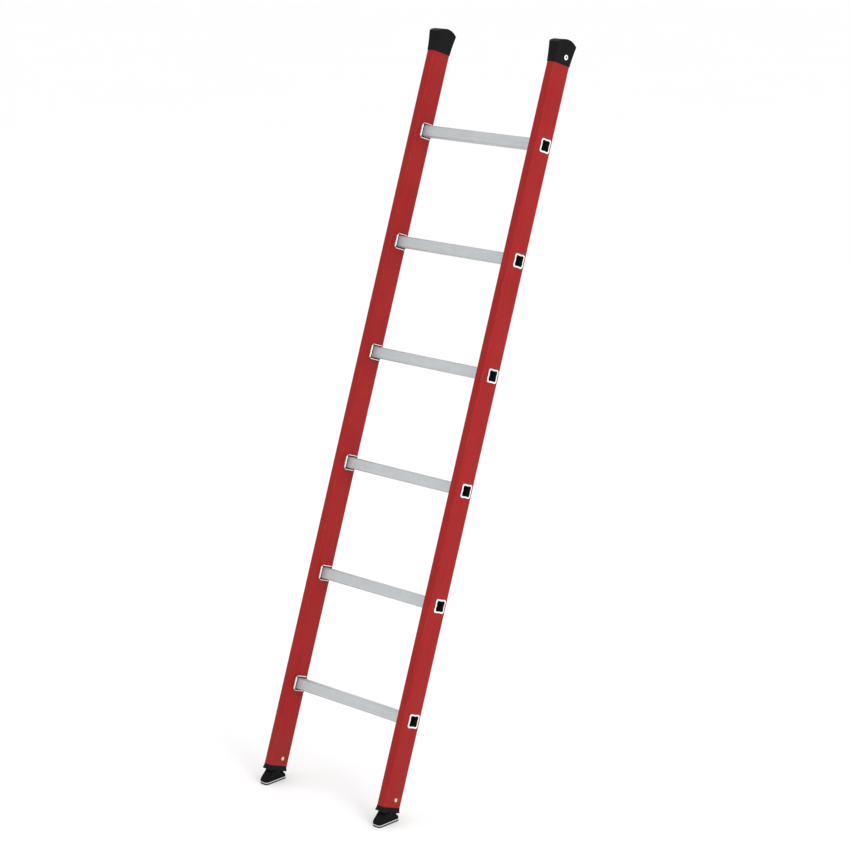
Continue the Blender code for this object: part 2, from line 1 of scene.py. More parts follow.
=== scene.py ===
"""Looks for the leaning ladder: glass-fibre stiles, ribbed aluminium rungs, black caps and feet.

Pieces on the ladder are made upright in the stiles' own frame (x across, y from front
to rear, z up the stile, zero at the middle of the bottom rung) and laid back at the
end.  Pieces of a foot are made round its ankle pin.
"""
import json
import math

import bmesh
import bpy
from mathutils import Matrix, Vector


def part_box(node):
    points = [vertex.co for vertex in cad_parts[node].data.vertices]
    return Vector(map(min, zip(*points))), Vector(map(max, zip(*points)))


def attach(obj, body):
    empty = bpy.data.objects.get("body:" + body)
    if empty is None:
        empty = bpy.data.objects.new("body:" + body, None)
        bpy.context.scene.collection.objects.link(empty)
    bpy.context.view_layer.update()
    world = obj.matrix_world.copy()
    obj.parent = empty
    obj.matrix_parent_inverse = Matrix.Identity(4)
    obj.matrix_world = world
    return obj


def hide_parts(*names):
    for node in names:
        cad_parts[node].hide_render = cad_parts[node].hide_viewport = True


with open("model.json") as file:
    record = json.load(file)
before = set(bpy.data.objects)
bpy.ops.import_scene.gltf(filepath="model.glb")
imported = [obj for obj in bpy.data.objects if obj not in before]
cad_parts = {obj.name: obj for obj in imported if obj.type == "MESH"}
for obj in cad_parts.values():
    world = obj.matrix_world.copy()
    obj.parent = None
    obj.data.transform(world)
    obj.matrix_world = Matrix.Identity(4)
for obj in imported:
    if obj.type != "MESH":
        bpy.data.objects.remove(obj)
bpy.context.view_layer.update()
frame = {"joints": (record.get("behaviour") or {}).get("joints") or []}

# ---------------------------------------------------------------- sizes, metres
GAP = 0.0003
STILE_THICKNESS = 0.024
STILE_DEPTH = 0.058
STILE_WALL = 0.003
STILE_CORNER = 0.0035
STILE_HOLLOW_CORNER = 0.0015
STILE_MIDDLE = -0.0055          # middle of the stile's depth, from the rungs' middle
RUNG_SIDE = 0.028
RUNG_CORNER = 0.004
BORE_SIDE = 0.024
LIP_SIDE = 0.034
LIP_CORNER = 0.006
LIP_THICKNESS = 0.0018
LIP_WAIST = 0.0009
RIB_COUNT = 8
RIB_PITCH = 0.0025
RIB_WIDTH = 0.0011
RIB_DEPTH = 0.0005
RIBS_HALF_RUN = RIB_COUNT * RIB_PITCH / 2
COLLAR_SIDE = 0.0385
COLLAR_GROOVE = 0.0314          # width over the groove's floor
COLLAR_CORNER = 0.008
COLLAR_THICKNESS = 0.0052
CAP_HEIGHT = 0.060
CAP_OVERLAP = 0.036
CAP_CORNER_HEIGHT = 0.048       # where the crown meets the front and the rear
CAP_LIP_WALL = 0.0009
CAP_FLARE = (0.0026, 0.0046)    # growth of each side, across and in depth
CAP_CORNER = 0.0045
CAP_CROWN_RADIUS = 0.0535
CAP_CROWN_SPREAD = math.radians(48.0)
CAP_SPARE = 0.003               # height of the blank over the crown, trimmed away
CAP_LIP_ABOVE_RUNG = 0.1968     # from the top rung's middle
CAP_RIVET_HEIGHT = 0.0186       # from the cap's lip
CAP_RIVET_HEAD = 0.0065
CAP_RIVET_DOME = 0.0018
CAP_RIVET_SHAFT = 0.0032
CAP_RIVET_BORE = 0.0021
CAP_RIVET_TAIL = 0.0070
STILE_BELOW_RUNG = 0.210        # from the bottom rung's middle
SKIRT_HEIGHT = 0.012
SHANK_LENGTH = 0.046
SHANK_CORNER = 0.0012
FOOT_RIVET_SHAFT = 0.0025
FOOT_RIVET_HEIGHT = 0.0184      # from the stile's lower end
FOOT_RIVET_HEAD = 0.0045
FOOT_RIVET_RIM = 0.0007
FOOT_RIVET_DOME = 0.0011
RIVET_LINE = 0.0011             # rivets, behind the rungs' middle
KNUCKLE_RADIUS = 0.008
TONGUE_WIDTH = 0.0204
TONGUE_REACH = 0.0195
TONGUE_END_DEPTH = 0.0010
TONGUE_KEEL_DEPTH = 0.0065
PIN_RADIUS = 0.0022
PIN_LENGTH = 0.025
SHOE_WIDTH = 0.027
SHOE_TOE = -0.041               # toe and heel, from the ankle pin
SHOE_HEEL = 0.0236
TOE_CORNER = 0.008
HEEL_CORNER = 0.0025
SHOE_BLANK = 0.024              # height of the body before its slopes are trimmed
TREAD_THICKNESS = 0.0034
PLATE_THICKNESS = 0.002
CHANNEL_WIDTH = 0.0216
CHANNEL_REACH = 0.0204
CHANNEL_END_DEPTH = 0.0045
CHANNEL_KEEL_DEPTH = 0.0090
CHANNEL_TOP = 0.020             # from the pin, clear of the ridge
SHOE_PEAK = 0.0032              # ridge of the shoe, from the ankle pin
SHOE_SLOPE = math.radians(8.0)
RIDGE_HALF_WIDTH = 0.0015
HEEL_REACH = 0.0205             # rear end of the upper slope, from the pin
HEEL_FOOT = (0.0240, -0.0146)   # on the heel's slope, from the pin
THROAT_REACH = 0.0185           # front end of the upper slope, from the pin
INSTEP_FOOT = -0.0365           # where the instep meets the rim, from the pin
RIM_HEIGHT = 0.0052
TOOTH_PITCH = 0.007
TOOTH_GROOVE = 0.0024
TOOTH_DEPTH = 0.002


# ------------------------------------------------------------ places, off the frame
def middle(node):
    """Middle of a CAD node's box."""
    low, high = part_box(node)
    return (low + high) / 2


RUNG_COUNT = 6
BOTTOM_RUNG = middle("rung_1")
CLIMB = middle(f"rung_{RUNG_COUNT}") - BOTTOM_RUNG
RUNG_PITCH = CLIMB.length / (RUNG_COUNT - 1)
LEAN_BACK = math.atan2(CLIMB.y, CLIMB.z)
LAID_BACK = Matrix.Translation(BOTTOM_RUNG) @ Matrix.Rotation(-LEAN_BACK, 4, "X")
STILE_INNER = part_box("stile_right")[0].x
STILE_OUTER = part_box("stile_right")[1].x
STILE_LINE = (STILE_INNER + STILE_OUTER) / 2
RUNG_MOUTH = STILE_OUTER + GAP + LIP_THICKNESS
CAP_LIP = (RUNG_COUNT - 1) * RUNG_PITCH + CAP_LIP_ABOVE_RUNG
ANKLES = {joint["child"]: Vector(joint["pos_m"]) for joint in frame["joints"]}
SIDES = {"left": -1, "right": 1}
PIN_HEIGHT = ANKLES["foot_right"].z


# ------------------------------------------------------------------- shader maths
class Term:
    """A value in a finish; arithmetic on it adds Math nodes."""

    def __init__(self, finish, socket):
        self.finish = finish
        self.socket = socket

    def maths(self, operation, *values):
        inputs = dict(enumerate(values))
        return self.finish.node("ShaderNodeMath", {"operation": operation}, inputs)

    def __add__(self, other):
        return self.maths("ADD", self, other)

    __radd__ = __add__

    def __sub__(self, other):
        return self.maths("SUBTRACT", self, other)

    def __rsub__(self, other):
        return self.maths("SUBTRACT", other, self)

    def __mul__(self, other):
        return self.maths("MULTIPLY", self, other)

    __rmul__ = __mul__

    def __abs__(self):
        return self.maths("ABSOLUTE", self)

    def larger(self, other):
        return self.maths("MAXIMUM", self, other)

    def wrapped(self, low, high):
        """The value carried round into the span from low to high."""
        return self.maths("WRAP", self, high, low)


class Finish:
    """A material whose colour, roughness and relief are worked out over the piece."""

    def __init__(self, name, **constants):
        self.material = bpy.data.materials.new(name)
        self.material.use_nodes = True
        self.nodes = self.material.node_tree.nodes
        self.links = self.material.node_tree.links
        self.shader = self.nodes["Principled BSDF"]
        for socket, value in constants.items():
            self.shader.inputs[socket.replace("_", " ")].default_value = value

    def node(self, kind, settings, inputs, output=0):
        """Add a node: its settings first, then its sockets' values or links."""
        made = self.nodes.new(kind)
        for name, value in settings.items():
            setattr(made, name, value)
        for socket, value in inputs.items():
            if isinstance(value, Term):
                self.links.new(value.socket, made.inputs[socket])
            else:
                made.inputs[socket].default_value = value
        return Term(self, made.outputs[output])

    def place(self, laid_back=False, stretch=(1.0, 1.0, 1.0)):
        """Object coordinates, upright in the stiles' frame if laid_back, then stretched."""
        point = self.node("ShaderNodeTexCoord", {}, {}, "Object")
        if laid_back:
            upright = {"Vector": point, "Location": BOTTOM_RUNG, "Rotation": (-LEAN_BACK, 0.0, 0.0)}
            point = self.node("ShaderNodeMapping", {"vector_type": "TEXTURE"}, upright)
        if stretch != (1.0, 1.0, 1.0):
            stretched = {"Vector": point, "Scale": stretch}
            point = self.node("ShaderNodeMapping", {"vector_type": "POINT"}, stretched)
        return point

    def axes(self, point):
        """The x, y and z of a point."""
        return [self.node("ShaderNodeSeparateXYZ", {}, {"Vector": point}, axis) for axis in range(3)]

    def noise(self, point, scale, detail=3.0, roughness=0.55, distortion=0.0):
        """Cloudy pattern; scale is its number of clouds in a metre."""
        inputs = {"Vector": point, "Scale": scale, "Detail": detail, "Roughness": roughness,
                  "Distortion": distortion}
        return self.node("ShaderNodeTexNoise", {"noise_dimensions": "3D"}, inputs)

    def cells(self, point, scale):
        """Pits: the distance from the nearest of many scattered points."""
        inputs = {"Vector": point, "Scale": scale}
        return self.node("ShaderNodeTexVoronoi", {"feature": "F1"}, inputs, "Distance")

    def ease(self, value, low, high, start=0.0, end=1.0):
        """Smooth step: start below low, end above high."""
        inputs = {"Value": value, "From Min": low, "From Max": high, "To Min": start, "To Max": end}
        return self.node("ShaderNodeMapRange", {"interpolation_type": "SMOOTHSTEP"}, inputs)

    def blend(self, factor, first, second):
        """Mix two colours."""
        first = first if isinstance(first, Term) else (*first, 1.0)
        second = second if isinstance(second, Term) else (*second, 1.0)
        return self.node("ShaderNodeMix", {"data_type": "RGBA"}, {0: factor, 6: first, 7: second}, 2)

    def relief(self, height, distance, strength=1.0):
        """Bump from a height of 0 to 1; distance is its full depth in metres."""
        inputs = {"Height": height, "Distance": distance, "Strength": strength}
        return self.node("ShaderNodeBump", {}, inputs)

    def colour(self, term):
        self.links.new(term.socket, self.shader.inputs["Base Color"])

    def roughness(self, term):
        self.links.new(term.socket, self.shader.inputs["Roughness"])

    def metallic(self, term):
        self.links.new(term.socket, self.shader.inputs["Metallic"])

    def normal(self, term):
        self.links.new(term.socket, self.shader.inputs["Normal"])


# ------------------------------------------------------------------------ finishes
RED_BODY = (0.305, 0.0130, 0.0130)
RED_DEEP = (0.268, 0.0100, 0.0104)
RED_LIGHT = (0.332, 0.0170, 0.0166)
RED_CHALK = (0.430, 0.0800, 0.0760)
RED_GRIME = (0.160, 0.0300, 0.0260)
METAL_BODY = (0.528, 0.552, 0.562)
METAL_DULL = (0.474, 0.497, 0.508)
METAL_PALE = (0.596, 0.621, 0.631)
METAL_SCUFF = (0.860, 0.860, 0.870)
LIP_HIGHLIGHT = (0.930, 0.932, 0.935)
RIB_SHADOW = (0.090, 0.090, 0.095)
BORE_SHADOW = (0.0015, 0.0015, 0.0015)
BEAD_BODY = (0.950, 0.950, 0.953)
BEAD_DULL = (0.860, 0.862, 0.868)
BEAD_CLOUD = (0.740, 0.745, 0.755)
BEAD_SHADOW = (0.018, 0.012, 0.012)
BLACK_BODY = (0.0062, 0.0062, 0.0064)
BLACK_DEEP = (0.0042, 0.0042, 0.0044)
BLACK_GRAIN = (0.0100, 0.0100, 0.0103)
BLACK_RUBBED = (0.0300, 0.0290, 0.0280)
BRASS_BODY = (0.90, 0.76, 0.56)
BRASS_DULL = (0.80, 0.62, 0.40)
BRASS_TOOLED = (0.50, 0.34, 0.19)
STEEL_BODY = (0.035, 0.036, 0.038)
STEEL_WORN = (0.140, 0.142, 0.148)
PLATE_BODY = (0.720, 0.720, 0.715)
PLATE_DULL = (0.620, 0.620, 0.620)
PLATE_DIRT = (0.300, 0.285, 0.265)
RUBBER_BODY = (0.0085, 0.0083, 0.0082)
RUBBER_DEEP = (0.0050, 0.0050, 0.0050)
RUBBER_DUST = (0.0750, 0.0700, 0.0640)
FLOOR_BODY = (0.96, 0.96, 0.96)
FLOOR_DULL = (0.93, 0.93, 0.93)
CAP_GLOSS = 0.09
SHOE_GLOSS = 0.055


def glass_fibre():
    """Red pultruded resin: lengthwise fibres under a surface veil, rubbed at the corners."""
    finish = Finish("red_glass_fibre", IOR=1.5, Specular_IOR_Level=0.11)
    upright = finish.place(laid_back=True)
    fibres = finish.noise(finish.place(True, (1.0, 1.0, 0.012)), 1400.0, 3.0, 0.6)
    strands = finish.noise(finish.place(True, (1.0, 1.0, 0.03)), 260.0, 2.0, 0.5)
    veil = finish.noise(upright, 420.0, 5.0, 0.65, 0.6)
    clouds = finish.noise(upright, 9.0, 3.0, 0.5)
    across, depth, height = finish.axes(upright)

    from_side = STILE_THICKNESS / 2 - abs(abs(across) - STILE_LINE)
    from_face = STILE_DEPTH / 2 - abs(depth - STILE_MIDDLE)
    from_corner = from_side.larger(from_face)
    patches = finish.noise(upright, 55.0, 4.0, 0.6)
    rubbed = finish.ease(from_corner, 0.0032, 0.0006) * finish.ease(patches, 0.48, 0.62)
    scratches = finish.noise(finish.place(True, (1.0, 0.35, 0.05)), 700.0, 1.0, 0.3)
    handled = finish.noise(upright, 14.0, 2.0, 0.5)
    scratched = finish.ease(scratches, 0.70, 0.76) * finish.ease(handled, 0.52, 0.66)
    low_down = finish.ease(height, 0.05, -0.20)
    grime = low_down * finish.ease(clouds + 0.3 * patches, 0.45, 0.85)

    body = finish.blend(finish.ease(0.6 * strands + 0.4 * fibres, 0.36, 0.64), RED_DEEP, RED_BODY)
    body = finish.blend(finish.ease(clouds, 0.35, 0.65, 0.0, 0.35), body, RED_LIGHT)
    body = finish.blend(0.20 * finish.ease(veil, 0.55, 0.72), body, RED_LIGHT)
    body = finish.blend(0.30 * grime, body, RED_GRIME)
    body = finish.blend(0.16 * scratched, body, RED_CHALK)
    finish.colour(finish.blend(0.20 * rubbed, body, RED_CHALK))
    worn = 0.16 * rubbed + 0.12 * scratched + 0.10 * grime
    finish.roughness(0.40 + 0.10 * veil + 0.08 * clouds + worn)
    cloth = 0.5 * fibres + 0.3 * veil + 0.2 * strands
    finish.normal(finish.relief(cloth - 0.25 * scratched, 0.00011, 0.55))
    return finish.material


def rung_aluminium():
    """Extruded tube: die lines along the rung, dull oxide, a polished tread; painted shade in the rib
    grooves and the bore, a painted highlight on the flared lip.
    """
    finish = Finish("rung_aluminium", IOR=1.45)
    upright = finish.place(laid_back=True)
    die_lines = finish.noise(finish.place(True, (0.010, 1.0, 1.0)), 1500.0, 3.0, 0.6)
    bands = finish.noise(finish.place(True, (0.02, 1.0, 1.0)), 240.0, 2.0, 0.5)
    oxide = finish.noise(upright, 38.0, 4.0, 0.55)
    across, depth, height = finish.axes(upright)
    level = height.wrapped(-RUNG_PITCH / 2, RUNG_PITCH / 2)

    half = RUNG_SIDE / 2
    half_bore = BORE_SIDE / 2
    off_axis = abs(depth).larger(abs(level))
    trodden = finish.ease(abs(across), 0.15, 0.05) * finish.ease(level, half - 0.0012, half - 0.0002)
    scuffs = finish.noise(finish.place(True, (0.5, 0.06, 1.0)), 520.0, 2.0, 0.5)
    scuffed = trodden * finish.ease(scuffs, 0.50, 0.62)
    inside = finish.ease(off_axis, half + 0.0003, half - 0.0001)
    tucked_in = finish.ease(abs(across), RUNG_MOUTH - 0.00012, RUNG_MOUTH - 0.00035)
    throat = inside * tucked_in * finish.ease(abs(across), STILE_OUTER - 0.003, STILE_OUTER)
    # Inside the tube and through the stile the bore is painted near black: painted shade.
    bored = throat.larger(finish.ease(off_axis, half_bore + 0.00062, half_bore + 0.00025))
    # The flared lip at the stile's outer face is painted near white and made less metallic: a painted
    # highlight on its rolled edge.
    lip_highlight = finish.ease(abs(across), STILE_OUTER - 0.0005, STILE_OUTER) * (1 - bored)
    # The floors of the rib grooves are darkened towards RIB_SHADOW: painted shade.
    groove_floor = finish.ease(abs(level), half - 0.1 * RIB_DEPTH, half - 0.8 * RIB_DEPTH)
    ribs_reach = finish.ease(abs(depth), RIBS_HALF_RUN, RIBS_HALF_RUN - 0.0004)
    ribbed = ribs_reach * finish.ease(abs(level), half - 0.0012, half - 0.0008)
    grooved = groove_floor * ribbed * (1 - inside)

    drawn = finish.ease(0.65 * die_lines + 0.35 * bands, 0.35, 0.65)
    body = finish.blend(drawn, METAL_DULL, METAL_BODY)
    body = finish.blend(finish.ease(oxide, 0.40, 0.70, 0.0, 0.30), body, METAL_PALE)
    body = finish.blend(0.35 * scuffed, body, METAL_SCUFF)
    body = finish.blend(0.75 * grooved, body, RIB_SHADOW)
    body = finish.blend(0.85 * lip_highlight, body, LIP_HIGHLIGHT)
    finish.colour(finish.blend(bored, body, BORE_SHADOW))
    shaded = 0.25 * grooved + 0.35 * bored
    finish.roughness(0.42 + 0.10 * die_lines + 0.12 * oxide - 0.10 * scuffed + shaded)
    finish.normal(finish.relief(0.8 * die_lines + 0.2 * bands + 0.2 * scuffed, 0.00006, 0.5))
    finish.metallic(0.75 - 0.75 * bored - 0.45 * lip_highlight)
    return finish.material


def bright_aluminium():
    """Pressed metal: bright, with fine drawing marks; painted shade in a bead's groove and a rivet's
    bore.
    """
    finish = Finish("bright_aluminium", IOR=1.5)
    upright = finish.place(laid_back=True)
    marks = finish.noise(finish.place(True, (2.5, 1.0, 1.0)), 420.0, 3.0, 0.6)
    clouds = finish.noise(upright, 130.0, 3.0, 0.5)
    across, depth, height = finish.axes(upright)
    level = height.wrapped(-RUNG_PITCH / 2, RUNG_PITCH / 2)
    off_axis = abs(depth).larger(abs(level))
    # The groove where the bead meets the rung is painted near black: painted shade.
    in_groove = finish.ease(off_axis, RUNG_SIDE / 2 + 0.0037, RUNG_SIDE / 2 + 0.0031)
    in_groove = in_groove * finish.ease(abs(across), STILE_OUTER, STILE_INNER + 0.0001)
    # Round the cap rivet's open bore the metal is painted near black: painted shade.
    rise = height - (CAP_LIP + CAP_RIVET_HEIGHT)
    run = depth - RIVET_LINE
    around_bore = (CAP_RIVET_BORE + 0.0006) ** 2
    in_bore = finish.ease(rise * rise + run * run, around_bore, (CAP_RIVET_BORE + 0.0001) ** 2)
    shadowed = in_groove.larger(in_bore)
    body = finish.blend(finish.ease(marks, 0.35, 0.65), BEAD_DULL, BEAD_BODY)
    body = finish.blend(0.25 * finish.ease(clouds, 0.55, 0.70), body, BEAD_CLOUD)
    finish.colour(finish.blend(0.97 * shadowed, body, BEAD_SHADOW))
    finish.roughness(0.26 + 0.14 * marks + 0.10 * clouds + 0.3 * shadowed)
    finish.metallic(0.55 - 0.55 * shadowed)
    finish.normal(finish.relief(0.6 * marks + 0.4 * clouds, 0.00005, 0.5))
    return finish.material


def black_moulding(name, leaning, gloss):
    """Moulded black polymer: spark-eroded grain, greyed where it rubs."""
    finish = Finish(name, IOR=1.48, Specular_IOR_Level=gloss)
    point = finish.place(laid_back=leaning)
    grain = finish.cells(point, 1500.0)
    fine = finish.noise(point, 2600.0, 3.0, 0.6)
    clouds = finish.noise(point, 30.0, 4.0, 0.6)
    rubs = finish.noise(finish.place(leaning, (1.0, 0.25, 1.0)), 190.0, 4.0, 0.65)
    rubbed = finish.ease(rubs, 0.60, 0.74) * finish.ease(clouds, 0.46, 0.60)
    body = finish.blend(finish.ease(clouds, 0.35, 0.65), BLACK_DEEP, BLACK_BODY)
    body = finish.blend(0.30 * finish.ease(fine, 0.45, 0.65), body, BLACK_GRAIN)
    finish.colour(finish.blend(0.30 * rubbed, body, BLACK_RUBBED))
    finish.roughness(0.52 + 0.10 * fine + 0.10 * clouds + 0.14 * rubbed)
    finish.normal(finish.relief(0.6 * grain + 0.4 * fine, 0.00012, 0.45))
    return finish.material


def rivet_brass():
    """Pale brass-toned rivet, finely tooled and tarnished in patches."""
    finish = Finish("pale_brass", Metallic=0.5, IOR=1.5)
    point = finish.place(laid_back=True)
    tooling = finish.noise(point, 900.0, 3.0, 0.6)
    tarnish = finish.noise(point, 260.0, 4.0, 0.6)
    body = finish.blend(finish.ease(tarnish, 0.40, 0.66), BRASS_DULL, BRASS_BODY)
    finish.colour(finish.blend(0.3 * finish.ease(tooling, 0.52, 0.70), body, BRASS_TOOLED))
    finish.roughness(0.30 + 0.18 * tooling + 0.12 * tarnish)
    finish.normal(finish.relief(tooling, 0.00005, 0.5))
    return finish.material


def dark_steel():
    """Blackened pin with fine tool marks, worn brighter in patches."""
    finish = Finish("dark_steel", Metallic=0.9, IOR=1.5)
    point = finish.place()
    marks = finish.noise(point, 1500.0, 3.0, 0.6)
    worn = finish.ease(finish.noise(point, 420.0, 3.0, 0.6), 0.50, 0.66)
    finish.colour(finish.blend(0.5 * worn, STEEL_BODY, STEEL_WORN))
    finish.roughness(0.34 + 0.2 * marks - 0.08 * worn)
    finish.normal(finish.relief(marks, 0.00004, 0.5))
    return finish.material


def grey_moulding():
    """Pale grey plate under the shoe, with floor dirt in its grain."""
    finish = Finish("pale_grey_moulding", IOR=1.46)
    point = finish.place()
    grain = finish.noise(point, 1700.0, 3.0, 0.6)
    dirt = finish.noise(point, 160.0, 4.0, 0.6)
    body = finish.blend(finish.ease(grain, 0.38, 0.62), PLATE_DULL, PLATE_BODY)
    finish.colour(finish.blend(0.35 * finish.ease(dirt, 0.54, 0.72), body, PLATE_DIRT))
    finish.roughness(0.50 + 0.15 * grain + 0.12 * dirt)
    finish.normal(finish.relief(0.7 * grain + 0.3 * dirt, 0.00008, 0.5))
    return finish.material


def black_rubber():
    """Matt rubber tread, dusty where its teeth stand on the floor."""
    finish = Finish("black_rubber", IOR=1.45, Specular_IOR_Level=0.12)
    point = finish.place()
    grain = finish.noise(point, 1300.0, 4.0, 0.65)
    dust = finish.noise(point, 210.0, 4.0, 0.6)
    height = finish.axes(point)[2]
    dusty = finish.ease(height, 0.0022, 0.0002) * finish.ease(dust, 0.44, 0.62)
    body = finish.blend(finish.ease(grain, 0.40, 0.62), RUBBER_DEEP, RUBBER_BODY)
    finish.colour(finish.blend(0.45 * dusty, body, RUBBER_DUST))
    finish.roughness(0.70 + 0.14 * grain + 0.10 * dusty)
    finish.normal(finish.relief(0.7 * grain + 0.3 * dust, 0.00014, 0.6))
    return finish.material


def pale_floor():
    """Studio floor, faintly clouded."""
    finish = Finish("pale_floor", IOR=1.4)
    point = finish.place()
    clouds = finish.noise(point, 1.2, 3.0, 0.5)
    speck = finish.noise(point, 90.0, 3.0, 0.6)
    finish.colour(finish.blend(0.5 * clouds + 0.5 * speck, FLOOR_DULL, FLOOR_BODY))
    finish.roughness(0.70 + 0.12 * speck)
    return finish.material


# ---------------------------------------------------------------------- shape tools
HAIR = 0.00003                  # loops that a wall joins never share a plane: the least step
TOUCHING = 1e-6                 # points closer than this are one
ON_PLANE = 1e-7                 # points closer than this to a cutting plane lie on it
SHARP = math.radians(34.0)      # edges that turn more than this stay sharp, or are eased
ALONG_X = Matrix(((0, 0, 1, 0), (1, 0, 0, 0), (0, 1, 0, 0), (0, 0, 0, 1)))


def at_height(z, y=0.0):
    """Place of an outline that lies flat at a height."""
    return Matrix.Translation((0.0, y, z))


def at_side(x, y=0.0, z=0.0):
    """Place of an outline that stands across X: its width runs along Y, its depth along Z."""
    return Matrix.Translation((x, y, z)) @ ALONG_X


def once_each(items):
    """The items in their order, without repeats."""
    return list(dict.fromkeys(items))


def with_rims(faces):
    """Faces after their corners and edges, as a cut needs them."""
    corners = once_each(vert for face in faces for vert in face.verts)
    rims = once_each(rim for face in faces for rim in face.edges)
    return corners + rims + list(faces)


def delete_faces(bm, edges):
    """Delete the faces between edges, and keep the edges."""
    faces = once_each(face for edge in edges for face in edge.link_faces)
    bmesh.ops.delete(bm, geom=faces, context="FACES_ONLY")


def rounded_loop(bm, width, depth, corner, place, steps=6, waist=None):
    """Closed loop of edges: a rounded rectangle.  A waist draws the middles of its sides in."""
    known = set(bm.edges)
    flat = Matrix.Diagonal((width, depth, 1.0, 1.0))
    verts = bmesh.ops.create_grid(bm, x_segments=1, y_segments=1, size=0.5, matrix=flat)["verts"]
    bmesh.ops.bevel(bm, geom=verts, offset=corner, offset_type="OFFSET", segments=steps, profile=0.5,
                    affect="VERTICES", material=-1)
    edges = [edge for edge in bm.edges if edge not in known]
    delete_faces(bm, edges)
    if waist is not None:
        sides = sorted(edges, key=lambda edge: -edge.calc_length())[:4]
        cut = bmesh.ops.subdivide_edges(bm, edges=sides, cuts=3)
        for vert in [item for item in cut["geom_inner"] if isinstance(item, bmesh.types.BMVert)]:
            off_middle = min(abs(vert.co.x), abs(vert.co.y)) / (min(width, depth) / 2 - corner)
            draw = waist * math.cos(off_middle * math.pi / 2) ** 2
            shrink = 1 - draw / max(abs(vert.co.x), abs(vert.co.y))
            bmesh.ops.scale(bm, vec=(shrink, shrink, 1.0), verts=[vert])
        edges = [edge for edge in bm.edges if edge not in known]
    corners = once_each(vert for edge in edges for vert in edge.verts)
    bmesh.ops.transform(bm, matrix=place, verts=corners)
    return edges


def skin(bm, loops, closed=False):
    """Walls from each loop to the next, and from the last to the first if closed."""
    pairs = list(zip(loops, loops[1:]))
    if closed:
        pairs.append((loops[-1], loops[0]))
    for first, second in pairs:
        bmesh.ops.bridge_loops(bm, edges=first + second)


def cap_off(bm, *loops):
    """Close loops with a face each."""
    for loop in loops:
        bmesh.ops.contextual_create(bm, geom=loop)


def trim(bm, point, outward, geom=None):
    """Cut a convex shape off at a plane and close it."""
    geom = geom or bm.verts[:] + bm.edges[:] + bm.faces[:]
    cut = bmesh.ops.bisect_plane(bm, geom=geom, plane_co=point, plane_no=outward, clear_outer=True,
                                 dist=ON_PLANE)
    edges = [item for item in cut["geom_cut"] if isinstance(item, bmesh.types.BMEdge)]
    if len(edges) > 2:
        bmesh.ops.contextual_create(bm, geom=edges)


def turned(profile, steps, centre):
    """Spin (x, radius) points about the X axis through a centre."""
    bm = bmesh.new()
    verts = [bm.verts.new((x, 0.0, radius)) for x, radius in profile]
    edges = [bm.edges.new(pair) for pair in zip(verts, verts[1:])]
    if min(profile[0][1], profile[-1][1]) > 0:
        edges.append(bm.edges.new((verts[-1], verts[0])))
    bmesh.ops.spin(bm, geom=verts + edges, axis=(1.0, 0.0, 0.0), cent=(0.0, 0.0, 0.0),
                   angle=2 * math.pi, steps=steps, use_merge=True)
    bmesh.ops.remove_doubles(bm, verts=bm.verts, dist=TOUCHING)
    bmesh.ops.translate(bm, vec=centre, verts=bm.verts)
    return bm


def block(bm, size, centre):
    place = Matrix.Translation(centre) @ Matrix.Diagonal((*size, 1.0))
    bmesh.ops.create_cube(bm, size=1.0, matrix=place)


def rod(bm, radius, length, centre, steps=40):
    """Solid cylinder along X."""
    place = Matrix.Translation(centre) @ Matrix.Rotation(math.pi / 2, 4, "Y")
    bmesh.ops.create_cone(bm, cap_ends=True, segments=steps, radius1=radius, radius2=radius,
                          depth=length, matrix=place)


def to_object(name, bm):
    """Turn a finished bmesh into an object, its faces pointing outwards."""
    bmesh.ops.recalc_face_normals(bm, faces=bm.faces)
    mesh = bpy.data.meshes.new(name)
    bm.to_mesh(mesh)
    bm.free()
    piece = bpy.data.objects.new(name, mesh)
    bpy.context.scene.collection.objects.link(piece)
    return piece


def carve(piece, operation, *shapes):
    """Take shapes out of a piece (DIFFERENCE) or grow them onto it (UNION), for good."""
    tools = [to_object(f"{piece.name}_shape", shape) for shape in shapes]
    for tool in tools:
        step = piece.modifiers.new("carve", "BOOLEAN")
        step.operation = operation
        step.solver = "EXACT"
        step.object = tool
    bpy.context.view_layer.update()
    carved = bpy.data.meshes.new_from_object(piece.evaluated_get(bpy.context.evaluated_depsgraph_get()))
    piece.modifiers.clear()
    piece.data = carved
    for tool in tools:
        bpy.data.objects.remove(tool)


def fit(piece, body, material, nodes, laid_back=True, ease=0.0, ease_steps=2):
    """Put a finished shape in its place: its edges eased, its finish on, riding on its body."""
    if laid_back:
        piece.data.transform(LAID_BACK)
    piece.data.materials.clear()
    piece.data.materials.append(material)
    piece.data.shade_smooth()
    piece.data.set_sharp_from_angle(angle=SHARP)
    if ease:
        rounding = piece.modifiers.new("eased_edges", "BEVEL")
        rounding.width = ease
        rounding.segments = ease_steps
        rounding.limit_method = "ANGLE"
        rounding.angle_limit = SHARP
        rounding.use_clamp_overlap = True
        rounding.harden_normals = True
        rounding.material = -1
    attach(piece, body)
    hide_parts(*nodes)


